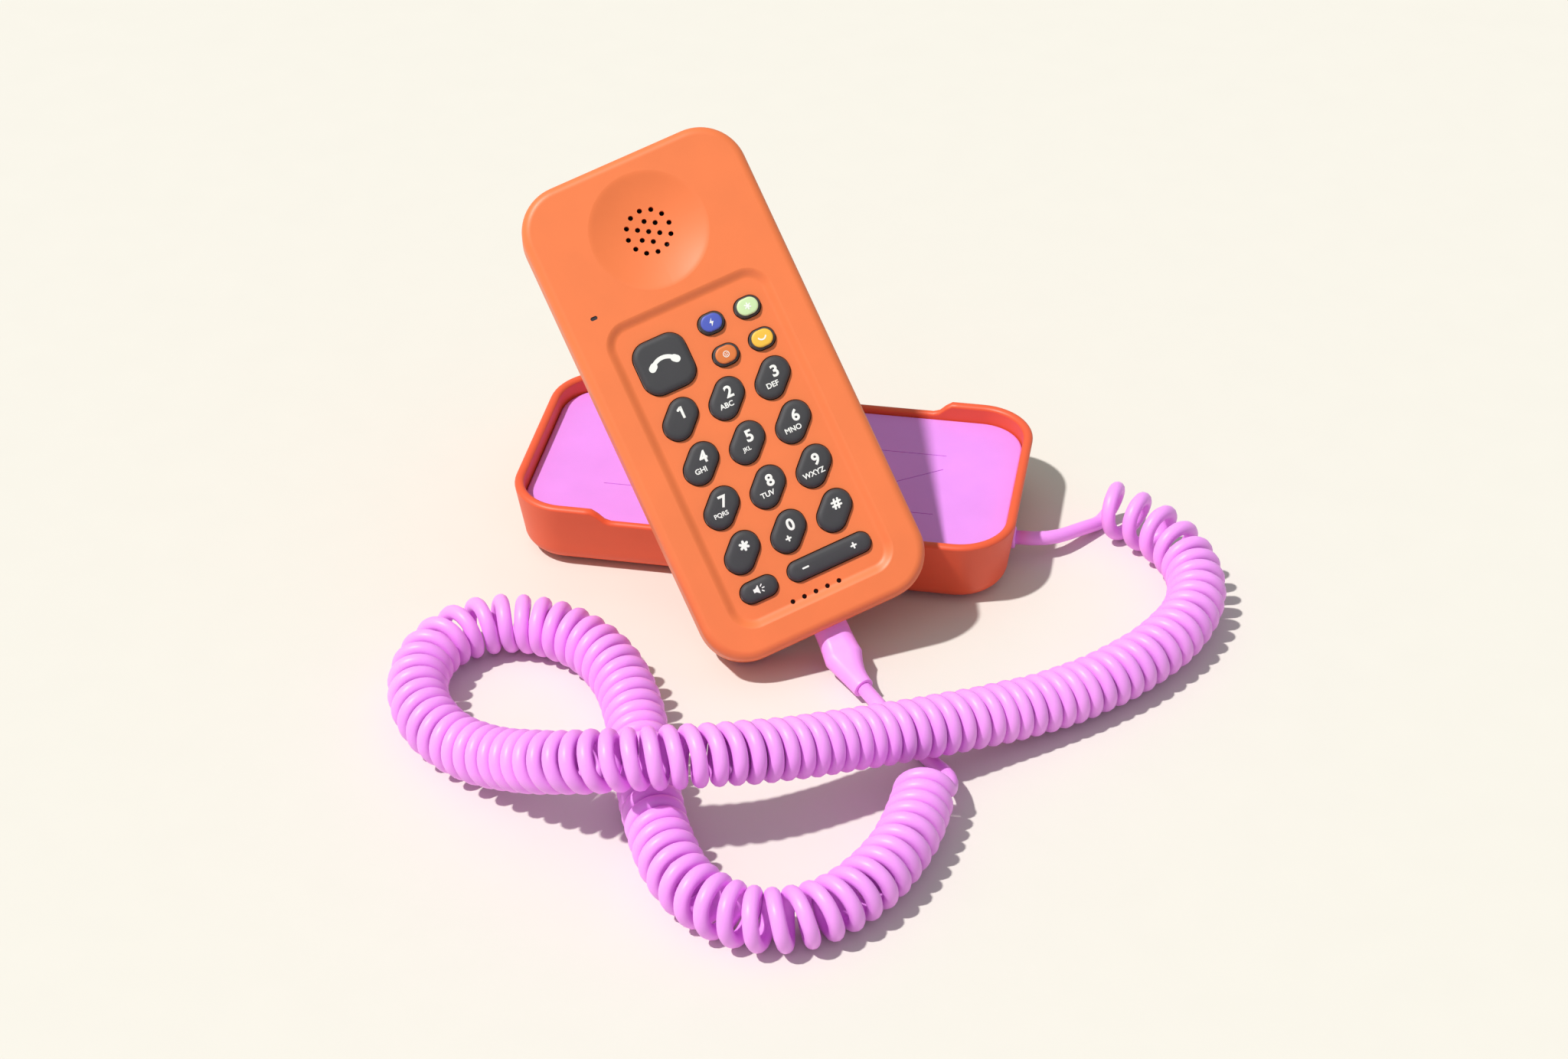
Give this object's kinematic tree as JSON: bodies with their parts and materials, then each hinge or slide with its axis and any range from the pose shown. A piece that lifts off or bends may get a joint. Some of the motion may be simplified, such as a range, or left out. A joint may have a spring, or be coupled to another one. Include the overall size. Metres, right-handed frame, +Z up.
{
  "type": "corded telephone",
  "caption": "Desk phone with a slab handset, soft rubber keypad and coiled cord, propped over its padded tray cradle.",
  "frame": {"origin": "centre of the grip mat's underside, on the surface that the cradle stands on", "axes": "+Z up, X along the cradle's long side, -Y towards the keypad side where the cord lies"},
  "size_m": [0.2856, 0.2861, 0.1561],
  "materials": {
    "orange_shell": "soft-touch matte",
    "lilac_pad": "matte",
    "lilac_cord": "satin",
    "black_key": "matte",
    "blue_cap": "satin",
    "green_cap": "satin",
    "orange_cap": "satin",
    "yellow_cap": "satin",
    "grey_grip": "matte",
    "steel": "brushed",
    "board": "matte",
    "dark_plastic": "matte",
    "clear_pipe": "translucent"
  },
  "bodies": {
    "cradle": {"cradle_shell": "orange_shell", "cradle_pad": "lilac_pad", "base_plate": "orange_shell", "base_grip": "grey_grip", "base_screws": "steel", "ballast": "steel", "cradle_board": "board", "ringer": "dark_plastic", "hook_magnets": "steel", "line_jack": "dark_plastic", "cord_gland": "lilac_cord", "cord_lead_base": "lilac_cord", "cord_coil": "lilac_cord", "cord_front_loop": "lilac_cord", "cord_lead_handset": "lilac_cord"},
    "handset": {"handset_front": "orange_shell", "handset_back": "orange_shell", "handset_screws": "steel", "ear_gasket": "dark_plastic", "ear_speaker": "dark_plastic", "microphone": "dark_plastic", "light_pipe": "clear_pipe", "key_board": "board", "key_switches": "steel", "handset_weight": "steel", "hold_magnets": "steel", "plug_socket": "steel", "handset_plug": "lilac_cord"},
    "key_1": {"key_1": "black_key"},
    "key_2": {"key_2": "black_key"},
    "key_3": {"key_3": "black_key"},
    "key_4": {"key_4": "black_key"},
    "key_5": {"key_5": "black_key"},
    "key_6": {"key_6": "black_key"},
    "key_7": {"key_7": "black_key"},
    "key_8": {"key_8": "black_key"},
    "key_9": {"key_9": "black_key"},
    "key_star": {"key_star": "black_key"},
    "key_0": {"key_0": "black_key"},
    "key_hash": {"key_hash": "black_key"},
    "key_big": {"key_big": "black_key"},
    "key_blue": {"key_blue_skirt": "black_key", "key_blue": "blue_cap"},
    "key_green": {"key_green_skirt": "black_key", "key_green": "green_cap"},
    "key_orange": {"key_orange_skirt": "black_key", "key_orange": "orange_cap"},
    "key_yellow": {"key_yellow_skirt": "black_key", "key_yellow": "yellow_cap"},
    "key_speaker": {"key_speaker": "black_key"},
    "rocker": {"rocker": "black_key"}
  },
  "joints": [
    {"name": "handset_lift", "type": "slide", "parent": "cradle", "child": "handset", "axis": [0, 0, 1], "range_m": [0, 0.025]},
    {"name": "key_1_press", "type": "slide", "parent": "handset", "child": "key_1", "axis": [-0.2151, 0.7234, -0.6561], "range_m": [0, 0.0012], "stiffness_N_per_m": 350},
    {"name": "key_2_press", "type": "slide", "parent": "handset", "child": "key_2", "axis": [-0.2151, 0.7234, -0.6561], "range_m": [0, 0.0012], "stiffness_N_per_m": 350},
    {"name": "key_3_press", "type": "slide", "parent": "handset", "child": "key_3", "axis": [-0.2151, 0.7234, -0.6561], "range_m": [0, 0.0012], "stiffness_N_per_m": 350},
    {"name": "key_4_press", "type": "slide", "parent": "handset", "child": "key_4", "axis": [-0.2151, 0.7234, -0.6561], "range_m": [0, 0.0012], "stiffness_N_per_m": 350},
    {"name": "key_5_press", "type": "slide", "parent": "handset", "child": "key_5", "axis": [-0.2151, 0.7234, -0.6561], "range_m": [0, 0.0012], "stiffness_N_per_m": 350},
    {"name": "key_6_press", "type": "slide", "parent": "handset", "child": "key_6", "axis": [-0.2151, 0.7234, -0.6561], "range_m": [0, 0.0012], "stiffness_N_per_m": 350},
    {"name": "key_7_press", "type": "slide", "parent": "handset", "child": "key_7", "axis": [-0.2151, 0.7234, -0.6561], "range_m": [0, 0.0012], "stiffness_N_per_m": 350},
    {"name": "key_8_press", "type": "slide", "parent": "handset", "child": "key_8", "axis": [-0.2151, 0.7234, -0.6561], "range_m": [0, 0.0012], "stiffness_N_per_m": 350},
    {"name": "key_9_press", "type": "slide", "parent": "handset", "child": "key_9", "axis": [-0.2151, 0.7234, -0.6561], "range_m": [0, 0.0012], "stiffness_N_per_m": 350},
    {"name": "key_star_press", "type": "slide", "parent": "handset", "child": "key_star", "axis": [-0.2151, 0.7234, -0.6561], "range_m": [0, 0.0012], "stiffness_N_per_m": 350},
    {"name": "key_0_press", "type": "slide", "parent": "handset", "child": "key_0", "axis": [-0.2151, 0.7234, -0.6561], "range_m": [0, 0.0012], "stiffness_N_per_m": 350},
    {"name": "key_hash_press", "type": "slide", "parent": "handset", "child": "key_hash", "axis": [-0.2151, 0.7234, -0.6561], "range_m": [0, 0.0012], "stiffness_N_per_m": 350},
    {"name": "key_big_press", "type": "slide", "parent": "handset", "child": "key_big", "axis": [-0.2151, 0.7234, -0.6561], "range_m": [0, 0.0012], "stiffness_N_per_m": 450},
    {"name": "key_blue_press", "type": "slide", "parent": "handset", "child": "key_blue", "axis": [-0.2151, 0.7234, -0.6561], "range_m": [0, 0.0012], "stiffness_N_per_m": 350},
    {"name": "key_green_press", "type": "slide", "parent": "handset", "child": "key_green", "axis": [-0.2151, 0.7234, -0.6561], "range_m": [0, 0.0012], "stiffness_N_per_m": 350},
    {"name": "key_orange_press", "type": "slide", "parent": "handset", "child": "key_orange", "axis": [-0.2151, 0.7234, -0.6561], "range_m": [0, 0.0012], "stiffness_N_per_m": 350},
    {"name": "key_yellow_press", "type": "slide", "parent": "handset", "child": "key_yellow", "axis": [-0.2151, 0.7234, -0.6561], "range_m": [0, 0.0012], "stiffness_N_per_m": 350},
    {"name": "key_speaker_press", "type": "slide", "parent": "handset", "child": "key_speaker", "axis": [-0.2151, 0.7234, -0.6561], "range_m": [0, 0.0012], "stiffness_N_per_m": 350},
    {"name": "rocker_tilt", "type": "hinge", "parent": "handset", "child": "rocker", "pos_m": [0.03185, -0.06998, 0.03542], "axis": [-0.5079, 0.4909, 0.7078], "range_deg": [-3, 3], "stiffness_Nm_per_rad": 0.06}
  ]
}
